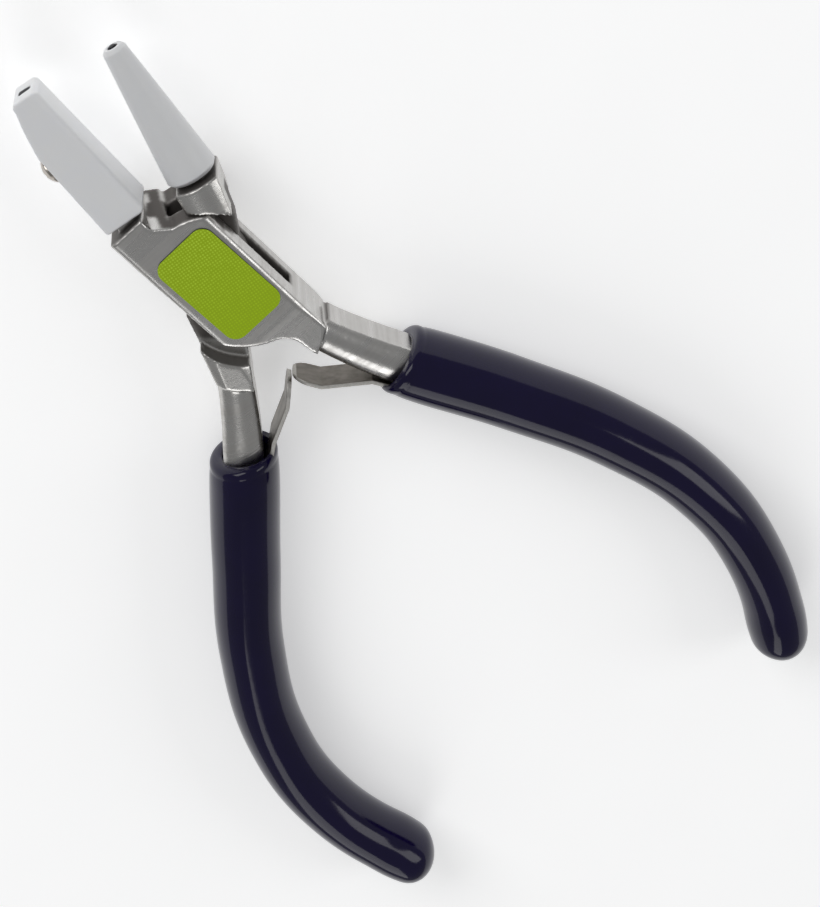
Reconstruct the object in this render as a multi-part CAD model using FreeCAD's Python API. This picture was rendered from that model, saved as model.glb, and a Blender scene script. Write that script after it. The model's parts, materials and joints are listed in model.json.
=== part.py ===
import FreeCAD, Part
import math
import os

# Running pliers with nylon-covered jaws: a box joint, in which the tongue half passes through a
# slot in the box half and turns on one rivet. Millimetres. The origin is on the pivot axis, level
# with the back cheek. +Z is up through the joint to the label, and +Y points to the jaws.
# Each steel half is drawn upright in its own frame, with the pivot at 0, 0 and the middle of its
# thickness at Z = 0. place() then turns it to one side of the centre line and lifts it.

# Pose
HALF_SPREAD = 9.5          # each half's turn from the centre line, jaws open, degrees
CLOSING_TRAVEL = 16.0      # turn of the tongue half from open until the covers meet, degrees

# Box joint
BOX_THICK = 9.6            # over both cheeks
TONGUE_THICK = 2.8         # the thin waist of the tongue half
SLOT_CLEAR = 0.1           # tongue to cheek, each side
BOX_LEFT = -6.5            # left side of the box
BOX_RIGHT = 5.7            # right side, where the slot opens
CHEEK_ROLL = 1.1           # width of the rolled edge of a cheek
SIDE_FACET = 7.6           # height of the flat side of the box
THROAT_FRONT_RADIUS = 8.3  # jaw end of the front cheek, about the pivot
THROAT_BACK_RADIUS = 10.3  # and of the back cheek, at its outer face
NECK_CLEAR = 0.25          # cheek end to the neck of the tongue half
CAVITY_RADIUS = 9.1        # inside of the box, round the tongue
NECK_SIDE_X = 0.9          # the box half's own neck keeps left of this
RIVET_RADIUS = 2.5
RIVET_CLEAR = 0.03         # rivet to tongue, radial
RIVET_HEAD_RADIUS = 3.3
RIVET_HEAD_DEPTH = 0.8
SLOT_SIDE_END_Y = -14.2    # the box's slot side runs down to here
BOX_FOOT = [(BOX_RIGHT - 0.3, -17.0), (1.6, -19.3), (1.3, -16.6)]   # round the foot of the shank
BOX_HOLLOW = [(1.3, -16.6), (0.6, -14.6), (-0.8, -13.5)]    # arc above the foot
BOX_CORNER = [(-0.8, -13.5), (-3.6, -12.0), (BOX_LEFT, -9.0)]   # arc into the left side
BOX_THIN_Y = -12.0         # the cheeks start to thin towards the shank
FOOT_Y = -19.2             # and are as thin as this allowance over the crown here
FOOT_EXTRA = 0.5
NECK_BACK = [(0.9, 11.2), (-0.7, 12.4)]    # end of the back cheek by the flat jaw's neck
NECK_FRONT = [(0.9, 8.1), (-1.3, 9.9)]     # and of the front cheek
CAVITY_OUTLINE = [(-9.0, 0.0), (0.9, 0.0), (0.9, 13.0), (9.0, 13.0), (9.0, -8.4), (0.6, -11.6),
                  (-1.4, -15.2), (-3.0, -17.0), (-9.0, -12.0)]
TONGUE_NECK_FOOT = [(0.8, 6.0), (6.2, 5.0)]
TONGUE_NECK_SIDES = (0.4, 6.8)
NECK_TOP_DROP = 0.4        # inner side of the neck, below the shoulder
TONGUE_STEP = [(-6.6, -9.9), (-4.6, -12.9), (-1.2, -15.2)]  # arc where the tongue thickens
TONGUE_FOOT = [(-1.2, -15.2), (-2.5, -19.2), (-6.9, -16.4), (-6.7, -12.5), (-6.6, -9.9)]
TONGUE_FOOT_SIDES = (-6.95, -1.1)
TONGUE_THIN_Y = -9.0
WAIST_OUTLINE = [(6.5, 8.6), (6.2, 5.2), (4.9, 0.4), (-1.3, -15.0), (-2.4, -16.5), (-6.7, -12.6),
                 (-6.6, -9.9), (-6.5, -5.9), (0.9, 8.4), (1.1, 10.6), (6.6, 10.6)]
BOSS_WALL = 2.9            # steel round the rivet

# Jaw ends of the steel halves
SHOULDER_Y = 12.1          # top of the full thickness
PRONG_BASE_Y = 10.5        # prongs start inside the neck
NECK_SIDE_FACET = 7.2
COVER_GAP = 0.3            # shoulder to nylon
BLADE_BASE_THICK = 5.4
BLADE_TIP_THICK = 1.2
BLADE_PROUD = 0.05         # blade end past the nylon
SPIKE_BASE_RADIUS = 2.4
SPIKE_TIP_RADIUS = 0.75

# Flat nylon jaw
FLAT_TIP_Y = 34.3
FLAT_TIP_LEAN = 0.5        # the outer corner of the tip lies this much further out
FLAT_BASE_X = 0.15         # gripping face at its heel
FLAT_TIP_X = 1.6           # gripping face at its tip
FLAT_BASE_THICK = 7.8
FLAT_TIP_THICK = 6.2
FLAT_WALL = 2.2            # gripping face to the steel blade
FLAT_OUTER_X = -6.25       # outer side at the heel
FLAT_EDGE = 0.9            # round on the gripping face's long edges
JAW_MEETING_GAP = 0.2      # left between the covers when closed
BLADE_WALL = 1.0           # outer side of the nylon to the steel blade
BLADE_OUTER = [(-1.6, FLAT_TIP_Y - 1.7), (-3.0, FLAT_TIP_Y - 3.9), (-4.2, FLAT_TIP_Y - 7.7)]
BOOT_TIP_WIDTH = 3.3       # between the two rounded corners of the tip
BOOT_TIP_CORNER = 0.8      # the blade ends this far inside the gripping face
HEEL_RISE = 0.9            # the heel is this much higher on the outer side
BOOT_OUTER_ARC = [(-2.5, FLAT_TIP_Y - 0.5), (-3.75, FLAT_TIP_Y - 3.4), (-5.0, FLAT_TIP_Y - 7.1)]

# Conical nylon jaw
CONE_LENGTH = 20.9
CONE_BASE_RADIUS = 3.7
CONE_WAIST_RADIUS = 2.95   # two fifths of the way up
CONE_TIP_RADIUS = 1.7

# Screw that holds the flat jaw
SCREW_Y = 24.2
SCREW_SEAT_X = -5.28       # under the head, on the nylon's outer side
SCREW_RADIUS = 1.0
SCREW_HEAD_RADIUS = 2.1
SCREW_HEAD_HEIGHT = 1.7
SCREW_LENGTH = 3.6
SCREW_HOLE_CLEAR = 0.1

# Handles: centre lines from the crease below the joint, both drawn on the right
BOX_SHANK = [(3.7, -17.5), (7.1, -26.9)]
TONGUE_SHANK = [(4.5, -17.2), (7.8, -26.6)]
GRIP_LINE = [(15.75, -44.6), (21.8, -59.3), (24.9, -74.9), (23.2, -89.0)]
BOX_GRIP_END = (17.1, -102.6)
TONGUE_GRIP_END = (15.6, -103.7)
SHANK_WIDTH = 5.0          # at the crease
TANG_WIDTH = 5.7           # at the mouth of the grip
TANG_END_WIDTH = 4.4
SHANK_CROWN = 8.2          # thickness over the rounded faces
SHANK_FACET = 5.2          # height of the flat sides
TANG_END_CROWN = 6.6
TANG_SHORT = 7.0           # tang stops this far before the grip's end
GRIP_START = 12.3          # along the centre line, from the crease
GRIP_TILT = 12.0           # slant of the grip's mouth, degrees
GRIP_HALF_WIDTH = 5.1
GRIP_HALF_THICK = 6.7
GRIP_END_HALF_WIDTH = 4.5
GRIP_END_HALF_THICK = 6.3
GRIP_LIP = 1.0

# Leaf springs, laid out with the pliers open
LEAF_THICK = 0.6
LEAF_WIDTH = 6.0
LEAF_TIP_ROUND = 2.4
LEAF_TIP_Y = -20.6
LEAF_TIP_GAP = 0.05        # each tip to the line where they meet
LEAF_MEET_X = -0.8
LEAF_BEND = (2.9, -23.8)     # from the line where the tips meet
LEAF_EXIT = (8.3, -27.2)
LEAF_ROOT = (16.0, 23.0)   # the fixed end's stretch along the centre line, from the crease
LEAF_RIVET_RADIUS = 1.0
LEAF_RIVET_HEAD = 1.6
LEAF_RIVET_HEAD_HEIGHT = 0.8
LEAF_RIVET_DEPTH = 2.5

# Label on the front cheek
LABEL_LENGTH = 15.8
LABEL_WIDTH = 9.8
LABEL_THICK = 0.2
LABEL_CORNER = 1.9
LABEL_CENTRE = (-0.25, -1.9)
LABEL_SKEW = 1.4           # stuck on a little askew, degrees

MID = BOX_THICK / 2
SLOT_THICK = TONGUE_THICK + 2 * SLOT_CLEAR
UP = FreeCAD.Vector(0, 0, 1)
ORIGIN = FreeCAD.Vector(0, 0, 0)


def vec(x, y, z=0.0):
    return FreeCAD.Vector(x, y, z)


def line(start, end):
    return Part.LineSegment(start, end).toShape()


def arc(start, through, end):
    return Part.Arc(start, through, end).toShape()


def slab(edges, thickness):
    """Solid of the outline that the edges close, centred on the middle plane."""
    face = Part.Face(Part.Wire(edges))
    face.translate(vec(0, 0, -thickness / 2))
    return face.extrude(vec(0, 0, thickness))


def polygon_slab(points, thickness):
    corners = [vec(*point) for point in points]
    return slab(Part.makePolygon(corners + corners[:1]).Edges, thickness)


def barrel(low_x, high_x, facet, crown, roll, low_y, high_y):
    """Bar along Y with flat sides and faces that roll down from a flat middle to them."""
    middle = (low_x + high_x) / 2
    half = (high_x - low_x) / 2
    side, top = facet / 2, crown / 2
    flat = half - roll
    sag = math.sin(math.radians(45)) * roll
    drop = (top - side) * (1 - math.cos(math.radians(45)))

    def quarter(sign_x, sign_z):
        outer = vec(middle + sign_x * half, low_y, sign_z * side)
        inner = vec(middle + sign_x * flat, low_y, sign_z * top)
        through = vec(middle + sign_x * (flat + sag), low_y, sign_z * (top - drop))
        return outer, through, inner

    right_top, right_low = quarter(1, 1), quarter(1, -1)
    left_top, left_low = quarter(-1, 1), quarter(-1, -1)
    edges = [
        line(right_low[0], right_top[0]), arc(*right_top),
        line(right_top[2], left_top[2]), arc(*left_top[::-1]),
        line(left_top[0], left_low[0]), arc(*left_low),
        line(left_low[2], right_low[2]), arc(*right_low[::-1]),
    ]
    return Part.Face(Part.Wire(edges)).extrude(vec(0, high_y - low_y, 0))


def crowned(low_x, high_x, facet, crown, low_y, high_y):
    """Bar along Y with flat sides and one arc over each face."""
    middle, side, top = (low_x + high_x) / 2, facet / 2, crown / 2
    edges = [
        line(vec(high_x, low_y, -side), vec(high_x, low_y, side)),
        arc(vec(high_x, low_y, side), vec(middle, low_y, top), vec(low_x, low_y, side)),
        line(vec(low_x, low_y, side), vec(low_x, low_y, -side)),
        arc(vec(low_x, low_y, -side), vec(middle, low_y, -top), vec(high_x, low_y, -side)),
    ]
    return Part.Face(Part.Wire(edges)).extrude(vec(0, high_y - low_y, 0))


def wedge(low_y, low_thick, high_y, high_thick, reach=20.0):
    """Block whose thickness changes evenly from one Y to another."""
    points = [(low_y, -low_thick / 2), (high_y, -high_thick / 2),
              (high_y, high_thick / 2), (low_y, low_thick / 2)]
    corners = [vec(-reach, y, z) for y, z in points]
    return Part.Face(Part.makePolygon(corners + corners[:1])).extrude(vec(2 * reach, 0, 0))


def handle_curve(shank, end):
    """Centre line of a handle, from the crease to the end of its grip."""
    curve = Part.BSplineCurve()
    curve.interpolate([vec(x, y) for x, y in shank + GRIP_LINE + [end]])
    return curve


def handle_station(handle, distance):
    """Point, direction and outward normal of a handle's centre line."""
    parameter = handle.parameterAtDistance(distance)
    tangent = handle.tangent(parameter)[0]
    return handle.value(parameter), tangent, vec(-tangent.y, tangent.x)


def between(start, end, share):
    return start + (end - start) * share


def bar_size(handle, distance):
    """Width and crown of the steel bar at a distance along the handle."""
    if distance < GRIP_START:
        share = max(distance / GRIP_START, 0.0)
        return between(SHANK_WIDTH, TANG_WIDTH, share), SHANK_CROWN
    share = (distance - GRIP_START) / (handle.length() - GRIP_START)
    return between(TANG_WIDTH, TANG_END_WIDTH, share), between(SHANK_CROWN, TANG_END_CROWN, share)


def bar_section(handle, distance):
    centre, tangent, normal = handle_station(handle, distance)
    width, crown = bar_size(handle, distance)
    side, top = SHANK_FACET / 2 * crown / SHANK_CROWN, crown / 2
    out, inn = centre + normal * (width / 2), centre - normal * (width / 2)
    return Part.Wire([
        line(out - UP * side, out + UP * side),
        arc(out + UP * side, centre + UP * top, inn + UP * side),
        line(inn + UP * side, inn - UP * side),
        arc(inn - UP * side, centre - UP * top, out - UP * side),
    ])


def handle_bar(handle):
    """Shank and tang, from the crease to just short of the grip's end."""
    last = handle.length() - TANG_SHORT
    stations = [0.0, GRIP_START * 0.5, GRIP_START]
    steps = 6
    stations += [between(GRIP_START, last, (i + 1) / steps) for i in range(steps)]
    return Part.makeLoft([bar_section(handle, d) for d in stations], True, False)


def oval(centre, across, half_width, half_thick):
    """Elliptical wire across the handle."""
    if half_thick > half_width:
        major, minor = centre + UP * half_thick, centre + across * half_width
    else:
        major, minor = centre + across * half_width, centre + UP * half_thick
    return Part.Wire([Part.Ellipse(major, minor, centre).toShape()])


def grip_shell(handle):
    """Outer shape of a dipped grip: slanted mouth, rounded end."""
    body_end = handle.length() - GRIP_END_HALF_WIDTH * 0.2
    sections = []
    mouth_steps = 4
    for i in range(mouth_steps + 1):
        share = i / mouth_steps
        distance = GRIP_START + share * 8.0
        centre, tangent, normal = handle_station(handle, distance)
        slant = math.radians(GRIP_TILT) * (1 - share)
        across = normal * math.cos(slant) + tangent * math.sin(slant)
        lip = GRIP_LIP * (1 - math.sqrt(1 - (1 - min(share * 2, 1.0)) ** 2))
        stretch = 1 / math.cos(slant)
        sections.append(oval(centre, across, (GRIP_HALF_WIDTH - lip) * stretch, GRIP_HALF_THICK - lip))
    steps = 6
    for i in range(1, steps + 1):
        share = i / steps
        centre, tangent, normal = handle_station(handle, between(GRIP_START + 8.0, body_end, share))
        sections.append(oval(centre, normal, between(GRIP_HALF_WIDTH, GRIP_END_HALF_WIDTH, share),
                             between(GRIP_HALF_THICK, GRIP_END_HALF_THICK, share)))
    centre, tangent, normal = handle_station(handle, body_end)
    for degrees in (25, 50, 70, 82):
        rise = math.sin(math.radians(degrees))
        shrink = math.cos(math.radians(degrees))
        sections.append(oval(centre + tangent * (GRIP_END_HALF_WIDTH * rise), normal,
                             GRIP_END_HALF_WIDTH * shrink, GRIP_END_HALF_THICK * shrink))
    return Part.makeLoft(sections, True, False)


def rivet_hole(radius):
    return Part.makeCylinder(radius, BOX_THICK + 2, vec(0, 0, -MID - 1), UP)


def pivot_rivet():
    """Shank with a countersunk head at each end, both flush with the cheeks."""
    shape = Part.makeCylinder(RIVET_RADIUS, BOX_THICK, vec(0, 0, -MID), UP)
    for side in (1, -1):
        head = Part.makeCone(RIVET_HEAD_RADIUS, RIVET_RADIUS, RIVET_HEAD_DEPTH,
                             vec(0, 0, side * MID), UP * -side)
        shape = shape.fuse(head)
    return shape.removeSplitter()


def joint_cone(clear):
    """Cone about the pivot in which the cheeks end, wider at the back."""
    step = (THROAT_BACK_RADIUS - THROAT_FRONT_RADIUS) / BOX_THICK
    return Part.makeCone(THROAT_BACK_RADIUS + clear + step, THROAT_FRONT_RADIUS + clear - step,
                         BOX_THICK + 2, vec(0, 0, -MID - 1), UP)


def cheek_limit():
    """Where the cheeks and the flat jaw's neck may be: the throat is what lies outside."""
    outlines = []
    for z, (throat, corner) in ((-MID - 1, NECK_BACK), (MID + 1, NECK_FRONT)):
        points = [(-9, 15), (-9, -1), (NECK_SIDE_X, -1), throat, corner, (corner[0] + 0.1, 15)]
        points = [vec(x, y, z) for x, y in points]
        outlines.append(Part.makePolygon(points + points[:1]))
    neck = Part.makeLoft(outlines, True, True)
    below = polygon_slab([(-20, 0), (20, 0), (20, -30), (-20, -30)], BOX_THICK + 2)
    return joint_cone(0).fuse(neck).fuse(below)


def chain(points):
    """Straight edges through a row of points."""
    return [line(points[i], points[i + 1]) for i in range(len(points) - 1)]


def box_body():
    """Cheeks, neck of the flat jaw and the start of the handle, before the slot is cut."""
    outer = BOX_LEFT - 0.5
    foot, hollow = [vec(*p) for p in BOX_FOOT], [vec(*p) for p in BOX_HOLLOW]
    corner = [vec(*p) for p in BOX_CORNER]
    edges = chain([corner[2], vec(outer, SHOULDER_Y), vec(BOX_RIGHT, SHOULDER_Y),
                   vec(BOX_RIGHT, SLOT_SIDE_END_Y)] + foot) + [arc(*hollow), arc(*corner)]
    plate = slab(edges, BOX_THICK)
    rolled = barrel(outer, BOX_RIGHT, SIDE_FACET, BOX_THICK, CHEEK_ROLL, -22, 14)
    taper = wedge(FOOT_Y, SHANK_CROWN + FOOT_EXTRA, BOX_THIN_Y, BOX_THICK).fuse(
        wedge(BOX_THIN_Y, BOX_THICK, 14.0, BOX_THICK))
    return plate.common(rolled).common(taper).common(cheek_limit())


def box_cavity():
    """Space inside the box that the tongue turns in."""
    disc = Part.makeCylinder(CAVITY_RADIUS, SLOT_THICK, vec(0, 0, -SLOT_THICK / 2), UP)
    return disc.fuse(polygon_slab(CAVITY_OUTLINE, SLOT_THICK))


def flat_blade():
    """Steel blade inside the flat jaw."""
    end_y = FLAT_TIP_Y + BLADE_PROUD
    points = [(FLAT_OUTER_X + BLADE_WALL, PRONG_BASE_Y), (FLAT_BASE_X - FLAT_WALL, PRONG_BASE_Y),
              (FLAT_TIP_X - BOOT_TIP_CORNER, end_y), (-1.2, end_y + FLAT_TIP_LEAN * 0.8)] + BLADE_OUTER
    blade = polygon_slab(points, BLADE_BASE_THICK)
    return blade.common(wedge(PRONG_BASE_Y, BLADE_BASE_THICK, FLAT_TIP_Y + 1, BLADE_TIP_THICK))


def screw_axis():
    """Seat and direction of the flat jaw's screw, square to the nylon's outer side."""
    seat = vec(SCREW_SEAT_X, SCREW_Y)
    return seat, vec(math.cos(math.radians(4.0)), -math.sin(math.radians(4.0)))


def box_half(handle):
    shape = box_body().fuse(handle_bar(handle)).cut(box_cavity())
    shape = shape.fuse(flat_blade())
    seat, into = screw_axis()
    hole = Part.makeCylinder(SCREW_RADIUS + SCREW_HOLE_CLEAR, SCREW_LENGTH + 1.3, seat - into, into)
    return shape.cut(pivot_rivet()).cut(hole).removeSplitter()


def cone_axis():
    """Foot and direction of the conical jaw, so that its side lies on the flat jaw when closed."""
    turn = 2 * HALF_SPREAD - CLOSING_TRAVEL
    spin = FreeCAD.Rotation(UP, turn)
    heel_y = SHOULDER_Y + COVER_GAP
    low = spin.multVec(vec(face_x(heel_y) + JAW_MEETING_GAP, heel_y))
    high = spin.multVec(vec(face_x(FLAT_TIP_Y) + JAW_MEETING_GAP, FLAT_TIP_Y))
    along = (high - low).normalize()
    away = vec(along.y, -along.x)
    slope = (CONE_BASE_RADIUS - CONE_TIP_RADIUS) / CONE_LENGTH
    foot = low + away * (CONE_BASE_RADIUS * math.cos(math.atan(slope)))
    lean = math.degrees(math.atan(slope))
    return foot, FreeCAD.Rotation(UP, lean).multVec(along)


def face_x(y):
    """The flat jaw's gripping face in the box half's frame."""
    heel_y = SHOULDER_Y + COVER_GAP
    return between(FLAT_BASE_X, FLAT_TIP_X, (y - heel_y) / (FLAT_TIP_Y - heel_y))


def round_spike():
    foot, along = cone_axis()
    start = foot - along * 2.0
    return Part.makeCone(SPIKE_BASE_RADIUS, SPIKE_TIP_RADIUS, CONE_LENGTH + 2.0, start, along)


def tongue_half(handle):
    """Drawn with its jaw on the right and its handle on the left."""
    inner, outer = TONGUE_NECK_SIDES
    neck_top = [(outer, SHOULDER_Y), (inner, SHOULDER_Y - NECK_TOP_DROP)]
    neck = polygon_slab(TONGUE_NECK_FOOT + neck_top, BOX_THICK).cut(joint_cone(NECK_CLEAR))
    neck = neck.common(crowned(inner, outer, NECK_SIDE_FACET, BOX_THICK, 4.0, 14.0))
    step = arc(*[vec(*p) for p in TONGUE_STEP])
    body = slab([step] + chain([vec(*p) for p in TONGUE_FOOT]), BOX_THICK)
    body = body.common(crowned(*TONGUE_FOOT_SIDES, NECK_SIDE_FACET, BOX_THICK, -22.0, -8.0))
    body = body.common(wedge(FOOT_Y, SHANK_CROWN + FOOT_EXTRA, TONGUE_THIN_Y, BOX_THICK))
    waist = polygon_slab(WAIST_OUTLINE, TONGUE_THICK)
    boss = Part.makeCylinder(RIVET_RADIUS + BOSS_WALL, TONGUE_THICK, vec(0, 0, -TONGUE_THICK / 2), UP)
    bar = mirrored(handle_bar(handle))
    shape = neck.fuse(body).fuse(waist).fuse(boss).fuse(bar).fuse(round_spike())
    return shape.cut(rivet_hole(RIVET_RADIUS + RIVET_CLEAR)).removeSplitter()


def flat_jaw(steel, screw):
    """Nylon boot with a channel for the blade."""
    heel_y = SHOULDER_Y + COVER_GAP
    outer = [vec(*point) for point in BOOT_OUTER_ARC]
    tip_out = vec(FLAT_TIP_X - BOOT_TIP_WIDTH, FLAT_TIP_Y + FLAT_TIP_LEAN)
    outer_bend = vec(outer[0].x + 0.25, FLAT_TIP_Y + FLAT_TIP_LEAN * 0.5)
    edges = chain([outer[2], vec(FLAT_OUTER_X, heel_y + HEEL_RISE), vec(FLAT_BASE_X, heel_y),
                   vec(FLAT_TIP_X, FLAT_TIP_Y), tip_out]) + [arc(tip_out, outer_bend, outer[0]), arc(*outer)]
    body = slab(edges, FLAT_BASE_THICK)
    body = body.common(wedge(heel_y - 1, FLAT_BASE_THICK, FLAT_TIP_Y + 1, FLAT_TIP_THICK))
    rounded = [edge for edge in body.Edges if on_gripping_edge(edge)]
    return body.makeFillet(FLAT_EDGE, rounded).cut(steel).cut(screw)


def on_gripping_edge(edge):
    """The gripping face's two long edges and its two corners across the jaw."""
    ends = [vertex.Point for vertex in edge.Vertexes]
    on_face = all(abs(point.x - face_x(point.y)) < 0.01 for point in ends)
    across = abs(ends[0].y - ends[-1].y) < 0.01
    return on_face and (across or edge.Length > 15)


def jaw_screw():
    """Pan head outside with a crossed recess, shank in the blade."""
    rim = SCREW_HEAD_HEIGHT * 0.4
    rise = SCREW_HEAD_HEIGHT - rim
    ball = (SCREW_HEAD_RADIUS ** 2 + rise ** 2) / (2 * rise)
    head = Part.makeCylinder(SCREW_HEAD_RADIUS, SCREW_HEAD_HEIGHT)
    head = head.common(Part.makeSphere(ball, vec(0, 0, SCREW_HEAD_HEIGHT - ball)))
    shank = Part.makeCylinder(SCREW_RADIUS, SCREW_LENGTH, ORIGIN, UP * -1)
    long, wide, deep = SCREW_HEAD_RADIUS * 1.2, 0.5, 0.7
    recess = Part.makeBox(long, wide, deep, vec(-long / 2, -wide / 2, SCREW_HEAD_HEIGHT - deep))
    recess = recess.fuse(Part.makeBox(wide, long, deep,
                                      vec(-wide / 2, -long / 2, SCREW_HEAD_HEIGHT - deep)))
    shape = head.fuse(shank).cut(recess)
    seat, into = screw_axis()
    shape.Placement = FreeCAD.Placement(seat, FreeCAD.Rotation(UP, into * -1))
    return shape


def cone_jaw(steel):
    """Turned nylon sleeve over the round spike."""
    foot, along = cone_axis()
    waist = CONE_LENGTH * 0.4
    side = Part.BSplineCurve()
    side.interpolate([vec(CONE_BASE_RADIUS, 0, 0.6), vec(CONE_WAIST_RADIUS, 0, waist),
                      vec(CONE_TIP_RADIUS, 0, CONE_LENGTH - 0.5)])
    tip = CONE_TIP_RADIUS - 0.4
    wire = Part.Wire([
        line(vec(0, 0, 0), vec(CONE_BASE_RADIUS - 0.5, 0, 0)),
        line(vec(CONE_BASE_RADIUS - 0.5, 0, 0), vec(CONE_BASE_RADIUS, 0, 0.6)),
        side.toShape(),
        line(vec(CONE_TIP_RADIUS, 0, CONE_LENGTH - 0.5), vec(tip, 0, CONE_LENGTH)),
        line(vec(tip, 0, CONE_LENGTH), vec(0, 0, CONE_LENGTH)),
        line(vec(0, 0, CONE_LENGTH), vec(0, 0, 0)),
    ])
    shape = Part.Face(wire).revolve(ORIGIN, UP, 360)
    shape.Placement = FreeCAD.Placement(foot, FreeCAD.Rotation(UP, along))
    return shape.cut(steel)


def label_plate():
    half_x, half_y = LABEL_WIDTH / 2, LABEL_LENGTH / 2
    plate = Part.makeBox(LABEL_WIDTH, LABEL_LENGTH, LABEL_THICK,
                         vec(LABEL_CENTRE[0] - half_x, LABEL_CENTRE[1] - half_y, MID))
    upright = [edge for edge in plate.Edges if abs(edge.Length - LABEL_THICK) < 0.01]
    plate = plate.makeFillet(LABEL_CORNER, upright)
    plate.rotate(vec(*LABEL_CENTRE), UP, LABEL_SKEW)
    return plate


def place(shape, turn):
    """From a half's own frame to the open pose: turned about the pivot and lifted."""
    moved = shape.copy()
    moved.rotate(ORIGIN, UP, turn)
    moved.translate(vec(0, 0, MID))
    return moved


def leaf_root(handle):
    """Two points on the inner side of the bar, with the pliers open."""
    spin = FreeCAD.Rotation(UP, HALF_SPREAD)
    points = []
    for distance in LEAF_ROOT:
        centre, tangent, normal = handle_station(handle, distance)
        width = bar_size(handle, distance)[0]
        points.append(spin.multVec(centre - normal * (width / 2 + LEAF_THICK / 2)))
    return points


def ribbon(points, thickness, width):
    """Bent strip of even thickness, standing on edge."""
    left, right = [], []
    for i, point in enumerate(points):
        before = (point - points[i - 1]).normalize() if i else None
        after = (points[i + 1] - point).normalize() if i + 1 < len(points) else None
        along = ((before or after) + (after or before)).normalize()
        stretch = 1 / along.dot(after or before)
        side = vec(-along.y, along.x) * (thickness / 2 * stretch)
        left.append(point + side)
        right.append(point - side)
    outline = left + right[::-1]
    return slab(Part.makePolygon(outline + outline[:1]).Edges, width)


def leaf_spring(handle, meet_x):
    """Spring on the right, in the open pose with the middle plane at Z = 0."""
    root_near, root_far = leaf_root(handle)
    tip = vec(meet_x + LEAF_TIP_GAP + LEAF_THICK * 0.35, LEAF_TIP_Y)
    bend, leave = vec(meet_x + LEAF_BEND[0], LEAF_BEND[1]), vec(*LEAF_EXIT)
    strip = ribbon([tip, bend, leave, root_near, root_far], LEAF_THICK, LEAF_WIDTH)
    along = (leave - bend).normalize()
    reach = 40.0
    half = LEAF_WIDTH / 2
    outline = [(0.0, half - LEAF_TIP_ROUND), (LEAF_TIP_ROUND * 0.3, half - LEAF_TIP_ROUND * 0.3),
               (LEAF_TIP_ROUND, half)]
    low = [vec(x, 0, -z) for x, z in outline]
    high = [vec(x, 0, z) for x, z in outline]
    tongue = Part.Wire([arc(*low[::-1]), line(low[0], high[0]), arc(*high),
                        line(high[2], vec(reach, 0, half)), line(vec(reach, 0, half), vec(reach, 0, -half)),
                        line(vec(reach, 0, -half), low[2])])
    stencil = Part.Face(tongue)
    stencil.translate(vec(0, -30, 0))
    stencil = stencil.extrude(vec(0, 60, 0))
    angle = math.degrees(math.atan2(along.y, along.x))
    stencil.rotate(ORIGIN, UP, angle)
    start = tip - along * (LEAF_THICK * 0.1)
    stencil.translate(start)
    return strip.common(stencil)


def leaf_rivet(handle):
    """Through the leaf's fixed end into the bar."""
    near, far = leaf_root(handle)
    middle = (near + far) * 0.5
    along = (far - near).normalize()
    inward = vec(-along.y, along.x)
    if inward.x < 0:
        inward = inward * -1
    seat = middle - inward * (LEAF_THICK / 2)
    shank = Part.makeCylinder(LEAF_RIVET_RADIUS, LEAF_THICK + LEAF_RIVET_DEPTH, seat, inward)
    head = Part.makeCone(LEAF_RIVET_HEAD, LEAF_RIVET_HEAD * 0.6, LEAF_RIVET_HEAD_HEIGHT, seat, inward * -1)
    return shank.fuse(head).removeSplitter()


def lifted(shape):
    moved = shape.copy()
    moved.translate(vec(0, 0, MID))
    return moved


def mirrored(shape):
    return shape.mirror(ORIGIN, vec(1, 0, 0))


def build():
    right_handle = handle_curve(BOX_SHANK, BOX_GRIP_END)
    left_handle = handle_curve(TONGUE_SHANK, TONGUE_GRIP_END)
    screw = jaw_screw()
    box, tongue = box_half(right_handle), tongue_half(left_handle)
    right_leaf = lifted(leaf_spring(right_handle, LEAF_MEET_X))
    left_leaf = lifted(mirrored(leaf_spring(left_handle, -LEAF_MEET_X)))
    right_rivet = lifted(leaf_rivet(right_handle))
    left_rivet = lifted(mirrored(leaf_rivet(left_handle)))
    right_steel = place(box, HALF_SPREAD).cut(right_leaf).cut(right_rivet)
    left_steel = place(tongue, -HALF_SPREAD).cut(left_leaf).cut(left_rivet)
    right_shell = place(grip_shell(right_handle), HALF_SPREAD)
    left_shell = place(mirrored(grip_shell(left_handle)), -HALF_SPREAD)
    return {
        "box_half": right_steel,
        "tongue_half": left_steel,
        "pivot_rivet": place(pivot_rivet(), HALF_SPREAD),
        "flat_jaw_boot": place(flat_jaw(box, screw), HALF_SPREAD),
        "jaw_screw": place(screw, HALF_SPREAD),
        "cone_jaw_sleeve": place(cone_jaw(tongue), -HALF_SPREAD),
        "label_plate": place(label_plate(), HALF_SPREAD),
        "right_leaf_spring": right_leaf.cut(right_rivet),
        "left_leaf_spring": left_leaf.cut(left_rivet),
        "right_spring_rivet": right_rivet,
        "left_spring_rivet": left_rivet,
        "right_grip": right_shell.cut(right_steel).cut(right_leaf).cut(right_rivet),
        "left_grip": left_shell.cut(left_steel).cut(left_leaf).cut(left_rivet),
    }


os.makedirs("parts", exist_ok=True)
for node, shape in build().items():
    solids = shape.Solids
    print(node, "solids", len(solids), "valid", shape.isValid(), "volume", round(shape.Volume, 2))
    result = solids[0] if len(solids) == 1 else Part.makeCompound(solids)
    result.exportStep("parts/%s.step" % node)
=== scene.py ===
import json
import math

import bmesh
import bpy
from mathutils import Matrix, Vector
from mathutils.bvhtree import BVHTree


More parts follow.
